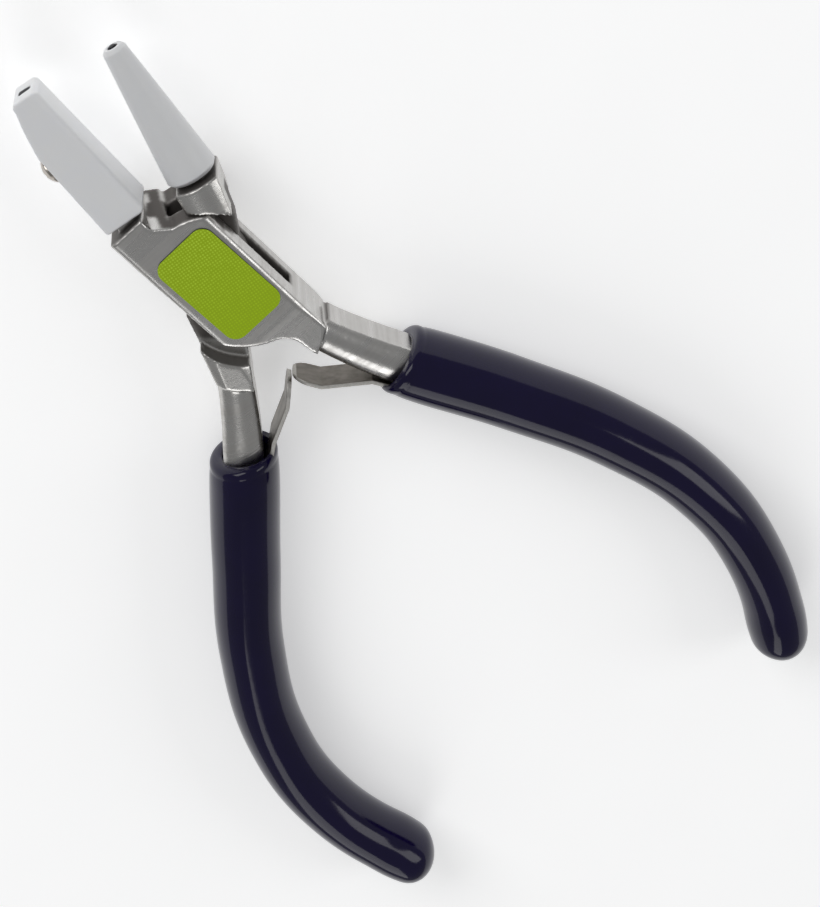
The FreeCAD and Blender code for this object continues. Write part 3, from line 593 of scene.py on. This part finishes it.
def dip_tree():
    """Wraps a mouth-to-end outline round a handle's centre line."""
    tree = bpy.data.node_groups.new("dipped_grip", "GeometryNodeTree")
    tree.interface.new_socket("Lines", in_out="INPUT", socket_type="NodeSocketGeometry")
    for label in ("Rings", "Sides"):
        tree.interface.new_socket(label, in_out="INPUT", socket_type="NodeSocketInt")
    for label in ("Start", "Straight", "Half Width", "Half Thick", "End Half Width", "End Half Thick",
                  "Slant", "Slant Fade", "Outward"):
        tree.interface.new_socket(label, in_out="INPUT", socket_type="NodeSocketFloat")
    tree.interface.new_socket("Skin", in_out="INPUT", socket_type="NodeSocketMaterial")
    tree.interface.new_socket("Grip", in_out="OUTPUT", socket_type="NodeSocketGeometry")
    given = tree.nodes.new("NodeGroupInput").outputs
    out = tree.nodes.new("NodeGroupOutput")
    link = tree.links.new

    def math_node(operation, first, second=None):
        made = add(tree, "ShaderNodeMath", {"operation": operation})
        for socket, value in zip(made.inputs, (first, second)):
            if isinstance(value, bpy.types.NodeSocket):
                link(value, socket)
            elif value is not None:
                socket.default_value = value
        return made.outputs[0]

    def ranged(value, low, high, start, end):
        made = add(tree, "ShaderNodeMapRange")
        for label, source in (("Value", value), ("From Min", low), ("From Max", high), ("To Min", start),
                              ("To Max", end)):
            if isinstance(source, bpy.types.NodeSocket):
                link(source, made.inputs[label])
            else:
                made.inputs[label].default_value = source
        return made.outputs["Result"]

    grid = add(tree, "GeometryNodeMeshGrid", Size_X=1.0, Size_Y=1.0)
    link(given["Rings"], grid.inputs["Vertices X"])
    link(given["Sides"], grid.inputs["Vertices Y"])
    cell = add(tree, "ShaderNodeSeparateXYZ")
    link(add(tree, "GeometryNodeInputPosition").outputs["Position"], cell.inputs["Vector"])
    along = math_node("ADD", cell.outputs["X"], 0.5)
    round_angle = math_node("MULTIPLY", math_node("ADD", cell.outputs["Y"], 0.5), math.tau)
    near_mouth = ranged(along, 0.0, 0.6, 0.0, 0.2)
    share = math_node("ADD", near_mouth, ranged(along, 0.6, 1.0, 0.0, 0.8))
    outline = add(tree, "GeometryNodeSampleCurve", {"mode": "FACTOR", "use_all_curves": False},
                  Curve_Index=1)
    link(given["Lines"], outline.inputs["Curves"])
    link(share, outline.inputs["Factor"])
    trace = add(tree, "ShaderNodeSeparateXYZ")
    link(outline.outputs["Position"], trace.inputs["Vector"])
    distance, radius, shift = trace.outputs["X"], trace.outputs["Y"], trace.outputs["Z"]
    size = math_node("DIVIDE", radius, given["Half Width"])
    width = ranged(distance, given["Slant Fade"], given["Straight"], given["Half Width"],
                   given["End Half Width"])
    thick = ranged(distance, given["Slant Fade"], given["Straight"], given["Half Thick"],
                   given["End Half Thick"])
    cosine, sine = math_node("COSINE", round_angle), math_node("SINE", round_angle)
    half_width = math_node("MULTIPLY", size, width)
    sideways = math_node("SUBTRACT", math_node("MULTIPLY", half_width, cosine), shift)
    upwards = math_node("MULTIPLY", math_node("MULTIPLY", size, thick), sine)
    fading = ranged(distance, 0.0, given["Slant Fade"], 1.0, 0.0)
    slope = math_node("TANGENT", given["Slant"])
    lean = math_node("MULTIPLY", math_node("MULTIPLY", sideways, fading), slope)
    reach = math_node("ADD", math_node("ADD", distance, lean), given["Start"])
    spine = add(tree, "GeometryNodeSampleCurve", {"mode": "LENGTH", "use_all_curves": False}, Curve_Index=0)
    link(given["Lines"], spine.inputs["Curves"])
    link(reach, spine.inputs["Length"])
    across = add(tree, "ShaderNodeVectorMath", {"operation": "CROSS_PRODUCT"})
    across.inputs[0].default_value = (0.0, 0.0, 1.0)
    link(spine.outputs["Tangent"], across.inputs[1])
    outward = add(tree, "ShaderNodeVectorMath", {"operation": "SCALE"})
    link(across.outputs["Vector"], outward.inputs["Vector"])
    link(math_node("MULTIPLY", sideways, given["Outward"]), outward.inputs["Scale"])
    upright = add(tree, "ShaderNodeCombineXYZ")
    link(upwards, upright.inputs["Z"])
    flat = add(tree, "ShaderNodeVectorMath", {"operation": "ADD"})
    link(spine.outputs["Position"], flat.inputs[0])
    link(outward.outputs["Vector"], flat.inputs[1])
    place = add(tree, "ShaderNodeVectorMath", {"operation": "ADD"})
    link(flat.outputs["Vector"], place.inputs[0])
    link(upright.outputs["Vector"], place.inputs[1])
    wrapped = add(tree, "GeometryNodeSetPosition")
    link(grid.outputs["Mesh"], wrapped.inputs["Geometry"])
    link(place.outputs["Vector"], wrapped.inputs["Position"])
    closed = add(tree, "GeometryNodeMergeByDistance", Distance=0.003 * MM)
    link(wrapped.outputs["Geometry"], closed.inputs["Geometry"])
    smooth = add(tree, "GeometryNodeSetShadeSmooth")
    link(closed.outputs["Geometry"], smooth.inputs["Geometry"])
    real = add(tree, "GeometryNodeRealizeInstances")
    link(smooth.outputs["Geometry"], real.inputs["Geometry"])
    coated = add(tree, "GeometryNodeSetMaterial")
    link(real.outputs["Geometry"], coated.inputs["Geometry"])
    link(given["Skin"], coated.inputs["Material"])
    link(coated.outputs["Geometry"], out.inputs["Grip"])
    return tree


def vinyl():
    """Glossy navy dip with a soft ripple, dust specks and faint rub marks."""
    made, tree, shader, place = material("grip_vinyl")
    link = tree.links.new
    clouds = add(tree, "ShaderNodeTexNoise", Scale=120.0, Detail=4.0, Roughness=0.6)
    link(place, clouds.inputs["Vector"])
    link(blend_colour(tree, clouds.outputs["Fac"], (0.003, 0.0015, 0.018), (0.006, 0.003, 0.036)),
         shader.inputs["Base Color"])
    scuffs = add(tree, "ShaderNodeTexNoise", Scale=1500.0, Detail=6.0, Roughness=0.75)
    link(place, scuffs.inputs["Vector"])
    dull = add(tree, "ShaderNodeMapRange", From_Min=0.56, From_Max=0.8, To_Min=0.11, To_Max=0.3)
    link(scuffs.outputs["Fac"], dull.inputs["Value"])
    link(dull.outputs["Result"], shader.inputs["Roughness"])
    shader.inputs["Specular IOR Level"].default_value = 0.32
    ripple = add(tree, "ShaderNodeTexNoise", Scale=330.0, Detail=2.0)
    link(place, ripple.inputs["Vector"])
    wave = add(tree, "ShaderNodeBump", Strength=0.18, Distance=0.06 * MM)
    link(ripple.outputs["Fac"], wave.inputs["Height"])
    specks = add(tree, "ShaderNodeBump", Strength=0.12, Distance=0.01 * MM)
    link(scuffs.outputs["Fac"], specks.inputs["Height"])
    link(wave.outputs["Normal"], specks.inputs["Normal"])
    link(specks.outputs["Normal"], shader.inputs["Normal"])
    return made


dip = dip_tree()
skin = vinyl()
for side, body, outward in (("right", "box_half", 1.0), ("left", "tongue_half", -1.0)):
    lines = bpy.data.curves.new(side + "_grip_lines", "CURVE")
    lines.dimensions = "3D"
    lines.resolution_u = 24
    spine = smooth_spline(lines, handle_spine(side))
    handle_length = spine.calc_length() / MM - PAST_END
    straight = handle_length - GRIP_START - END_TRIM
    profile = [(d, r, MOUTH_SHIFT if r < 4.0 and d < 6.0 else 0.0) for d, r in MOUTH_PROFILE]
    profile += [(straight * part, r, 0.0) for part, r in BODY_PROFILE]
    for angle in map(math.radians, END_ANGLES):
        profile.append((straight + END_ROUND * math.sin(angle), END_RADIUS * math.cos(angle), 0.0))
    smooth_spline(lines, [Vector(p) * MM for p in profile])
    shell = bpy.data.objects.new(side + "_grip_lines", lines)
    bpy.context.scene.collection.objects.link(shell)
    wrap = shell.modifiers.new("dip", "NODES")
    wrap.node_group = dip
    sizes = {"Rings": 260, "Sides": 97, "Start": GRIP_START * MM, "Straight": straight * MM,
             "Half Width": GRIP_HALF_WIDTH * MM, "Half Thick": GRIP_HALF_THICK * MM,
             "End Half Width": 4.5 * MM,
             "End Half Thick": 6.3 * MM, "Slant": math.radians(12.0), "Slant Fade": 8.0 * MM,
             "Outward": outward, "Skin": skin}
    for item in dip.interface.items_tree:
        if item.in_out == "INPUT" and item.name in sizes:
            wrap[item.identifier] = sizes[item.name]
    graph = bpy.context.evaluated_depsgraph_get()
    made = bpy.data.meshes.new_from_object(shell.evaluated_get(graph))
    bpy.data.objects.remove(shell)
    work = bmesh.new()
    work.from_mesh(made)
    bmesh.ops.recalc_face_normals(work, faces=work.faces)
    work.to_mesh(made)
    work.free()
    grip = bpy.data.objects.new(side + "_grip_dip", made)
    bpy.context.scene.collection.objects.link(grip)
    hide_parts(side + "_grip")
    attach(grip, body)

# --- Bench, light and camera ----------------------------------------------------------------
# The pliers lie on a plain pale board under three soft boxes and a grey room, seen from above
# the jaws' end. The board glows a little, so that shadows on it stay faint.
FLOOR_HALF = 1.6


def board():
    mesh = bpy.data.meshes.new("board")
    level = cad_low.z - 0.05 * MM
    corners = [(-FLOOR_HALF, -FLOOR_HALF), (FLOOR_HALF, -FLOOR_HALF), (FLOOR_HALF, FLOOR_HALF),
               (-FLOOR_HALF, FLOOR_HALF)]
    mesh.from_pydata([(x, y, level) for x, y in corners], [], [(0, 1, 2, 3)])
    made, tree, shader, place = material("board_paint")
    grain = add(tree, "ShaderNodeTexNoise", Scale=60.0, Detail=5.0)
    tree.links.new(place, grain.inputs["Vector"])
    tree.links.new(blend_colour(tree, grain.outputs["Fac"], (0.90, 0.90, 0.90), (0.93, 0.93, 0.93)),
                   shader.inputs["Base Color"])
    shader.inputs["Roughness"].default_value = 0.9
    shader.inputs["Emission Color"].default_value = (1.0, 1.0, 1.0, 1.0)
    shader.inputs["Emission Strength"].default_value = 0.38
    mesh.materials.append(made)
    surface = bpy.data.objects.new("board", mesh)
    bpy.context.scene.collection.objects.link(surface)


def soft_box(name, towards, distance, width, height, power):
    """A square light aimed at the joint from a direction."""
    lamp = bpy.data.lights.new(name, "AREA")
    lamp.shape = "RECTANGLE"
    lamp.size, lamp.size_y = width, height
    lamp.energy = power
    stand = bpy.data.objects.new(name, lamp)
    aim = Vector((0.0, -0.03, MID_Z))
    back = Vector(towards).normalized()
    stand.location = aim + back * distance
    stand.rotation_mode = "QUATERNION"
    stand.rotation_quaternion = (-back).to_track_quat("-Z", "Y")
    bpy.context.scene.collection.objects.link(stand)


board()
soft_box("front_box", (-0.55, -0.62, 0.56), 0.75, 0.30, 0.50, 0.85)
soft_box("side_box", (0.80, -0.27, 0.53), 0.75, 0.28, 0.36, 0.75)
soft_box("far_box", (-0.10, 0.80, 0.60), 0.9, 0.60, 0.50, 2.8)

room = bpy.data.worlds.new("room")
room.use_nodes = True
room.node_tree.nodes["Background"].inputs["Color"].default_value = (0.98, 0.99, 1.0, 1.0)
room.node_tree.nodes["Background"].inputs["Strength"].default_value = 0.28
bpy.context.scene.world = room

lens = bpy.data.cameras.new("camera")
lens.lens = 115.9
lens.sensor_width = 36.0
lens.clip_start = 0.01
camera = bpy.data.objects.new("camera", lens)
eye = Vector((0.09526, 0.13806, 0.36863))
right = Vector((0.8337, -0.5484, 0.0647))
up = Vector((0.5083, 0.7164, -0.4779))
back = Vector((0.2157, 0.4314, 0.8760))
camera.matrix_world = Matrix.Translation(eye) @ Matrix((right, up, back)).transposed().to_4x4()
bpy.context.scene.collection.objects.link(camera)
bpy.context.scene.camera = camera
bpy.context.scene.view_settings.view_transform = "Standard"
